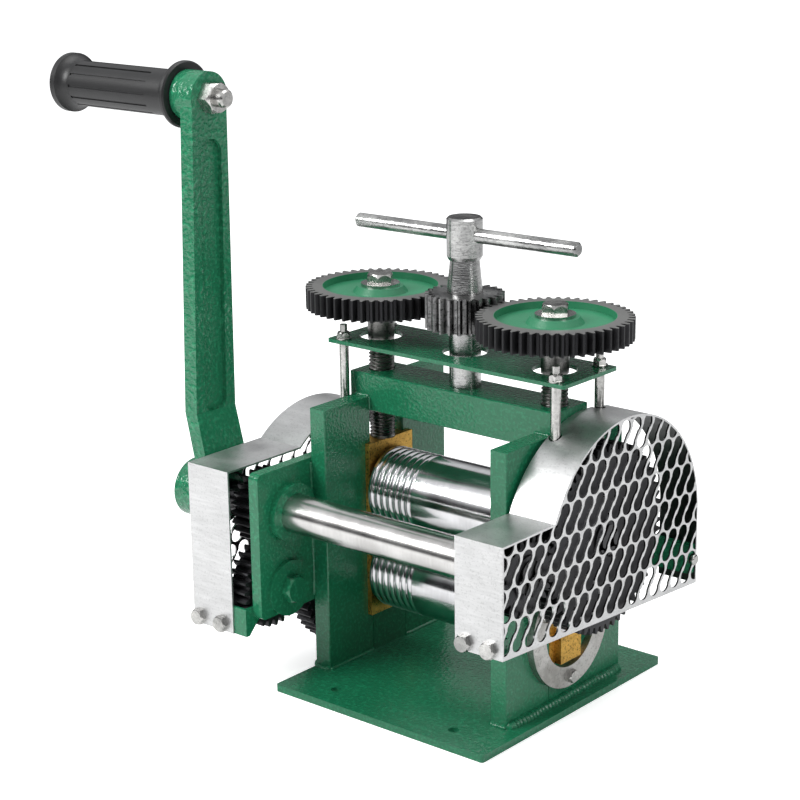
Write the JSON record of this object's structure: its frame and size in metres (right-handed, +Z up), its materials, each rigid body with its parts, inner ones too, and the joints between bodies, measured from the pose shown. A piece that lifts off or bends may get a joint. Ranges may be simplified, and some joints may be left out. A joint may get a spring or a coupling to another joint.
{
  "type": "rolling mill",
  "caption": "Bench rolling mill: paired steel rollers in a welded stand, turned by a side crank through guarded spur gears, with a geared T handle that sets the roller gap.",
  "frame": {"origin": "on the underside of the base plate, straight below the roller axes and midway between the two pressure screws", "axes": "+X runs along the rollers away from the crank, +Y runs from the cranked front shaft to the back of the stand, +Z up"},
  "size_m": [0.4044, 0.224, 0.4109],
  "materials": {
    "frame_enamel": "glossy green enamel with a fine hammered texture",
    "crank_enamel": "green hammered enamel over a cast arm",
    "roller_steel": "ground and polished hardened steel",
    "shaft_steel": "ground bright steel",
    "bearing_brass": "rough machined brass",
    "bush_bronze": "plain bronze",
    "gear_black": "blackened steel with oil",
    "screw_gear_finish": "blackened teeth with a green painted web",
    "screw_steel": "dark turned steel",
    "handle_steel": "dull zinc plated steel",
    "handle_pinion_steel": "milled zinc plated steel",
    "zinc_fastener": "bright zinc plate",
    "plain_steel": "plain bright steel",
    "ring_zinc": "zinc plated, blasted",
    "cover_sheet": "galvanised sheet with brushing marks",
    "grip_rubber": "matt black moulded rubber"
  },
  "bodies": {
    "frame": {"base_plate": "frame_enamel", "left_front_post": "frame_enamel", "left_rear_post": "frame_enamel", "right_front_post": "frame_enamel", "right_rear_post": "frame_enamel", "sills": "frame_enamel", "top_beam": "frame_enamel", "spindle_lock_screw": "plain_steel", "left_bracket": "frame_enamel", "right_bracket": "frame_enamel", "shaft_bushes": "bush_bronze", "left_lower_block": "bearing_brass", "right_lower_block": "bearing_brass", "retaining_rings": "ring_zinc", "ring_screws": "zinc_fastener", "lower_thrust_washers": "bush_bronze", "idler_bolt": "frame_enamel", "idler_washer": "frame_enamel", "idler_sleeve": "plain_steel", "idler_nut_and_washer": "zinc_fastener", "left_cover_strip": "cover_sheet", "left_cover_panel": "cover_sheet", "right_cover_strip": "cover_sheet", "right_cover_panel": "cover_sheet", "left_front_lug": "frame_enamel", "right_front_lug": "frame_enamel", "rear_straps": "frame_enamel", "cover_screws": "zinc_fastener", "top_plate": "frame_enamel", "plate_studs": "zinc_fastener", "stud_nuts_and_washers": "zinc_fastener"},
    "crank": {"front_shaft": "shaft_steel", "shaft_keys_and_clips": "plain_steel", "left_drive_gear": "gear_black", "right_drive_pinion": "gear_black", "crank_arm": "crank_enamel", "crank_end_bolt_and_washer": "zinc_fastener", "grip_bolt": "zinc_fastener", "grip_nut": "zinc_fastener"},
    "grip": {"grip": "grip_rubber"},
    "idler": {"idler_gear": "gear_black"},
    "lower_roller": {"lower_roller": "roller_steel", "lower_roller_gear": "gear_black", "lower_gear_key_and_clip": "plain_steel"},
    "upper_bearings": {"left_upper_block": "bearing_brass", "right_upper_block": "bearing_brass", "screw_pins": "screw_steel"},
    "upper_thrust": {"upper_thrust_washers": "bush_bronze"},
    "upper_roller": {"upper_roller": "roller_steel", "upper_roller_gear": "gear_black", "upper_gear_key_and_clip": "plain_steel"},
    "left_screw": {"left_pressure_screw": "screw_steel", "left_screw_gear": "screw_gear_finish", "left_top_bolt_and_washer": "zinc_fastener"},
    "right_screw": {"right_pressure_screw": "screw_steel", "right_screw_gear": "screw_gear_finish", "right_top_bolt_and_washer": "zinc_fastener"},
    "t_handle": {"t_spindle": "handle_steel", "t_pinion": "handle_pinion_steel", "t_bar": "handle_steel"}
  },
  "joints": [
    {"name": "crank_turn", "type": "hinge", "parent": "frame", "child": "crank", "pos_m": [-0.155, -0.084, 0.122], "axis": [1, 0, 0], "continuous": true},
    {"name": "grip_spin", "type": "hinge", "parent": "crank", "child": "grip", "pos_m": [-0.226, -0.07794, 0.38893], "axis": [1, 0, 0], "continuous": true},
    {"name": "idler_spin", "type": "hinge", "parent": "frame", "child": "idler", "pos_m": [-0.1005, -0.08775, 0.07014], "axis": [1, 0, 0], "continuous": true},
    {"name": "lower_roller_spin", "type": "hinge", "parent": "frame", "child": "lower_roller", "pos_m": [0, 0, 0.0635], "axis": [1, 0, 0], "continuous": true},
    {"name": "upper_block_lift", "type": "slide", "parent": "frame", "child": "upper_bearings", "axis": [0, 0, 1], "range_m": [-0.0032, 0.0045]},
    {"name": "upper_thrust_roll", "type": "hinge", "parent": "upper_bearings", "child": "upper_thrust", "pos_m": [0, 0, 0.122], "axis": [1, 0, 0], "range_deg": [-3.07, 4.31]},
    {"name": "upper_roller_spin", "type": "hinge", "parent": "upper_thrust", "child": "upper_roller", "pos_m": [0, 0, 0.122], "axis": [1, 0, 0], "continuous": true},
    {"name": "left_screw_turn", "type": "hinge", "parent": "upper_bearings", "child": "left_screw", "pos_m": [-0.072, 0, 0.254], "axis": [0, 0, 1], "range_deg": [-460.8, 648]},
    {"name": "right_screw_turn", "type": "hinge", "parent": "upper_bearings", "child": "right_screw", "pos_m": [0.072, 0, 0.254], "axis": [0, 0, 1], "range_deg": [-460.8, 648]},
    {"name": "t_handle_turn", "type": "hinge", "parent": "frame", "child": "t_handle", "pos_m": [0, 0, 0.254], "axis": [0, 0, 1], "range_deg": [-1296, 921.6]}
  ],
  "couplings": [
    {"joint": "idler_spin", "follows": "crank_turn", "ratio": -0.85714},
    {"joint": "lower_roller_spin", "follows": "crank_turn", "ratio": 0.4},
    {"joint": "upper_roller_spin", "follows": "crank_turn", "ratio": -0.4},
    {"joint": "upper_thrust_roll", "follows": "upper_block_lift", "rad_per_m": 16.667},
    {"joint": "left_screw_turn", "follows": "upper_block_lift", "rad_per_m": 2513.3},
    {"joint": "right_screw_turn", "follows": "upper_block_lift", "rad_per_m": 2513.3},
    {"joint": "t_handle_turn", "follows": "upper_block_lift", "rad_per_m": -5026.5}
  ]
}
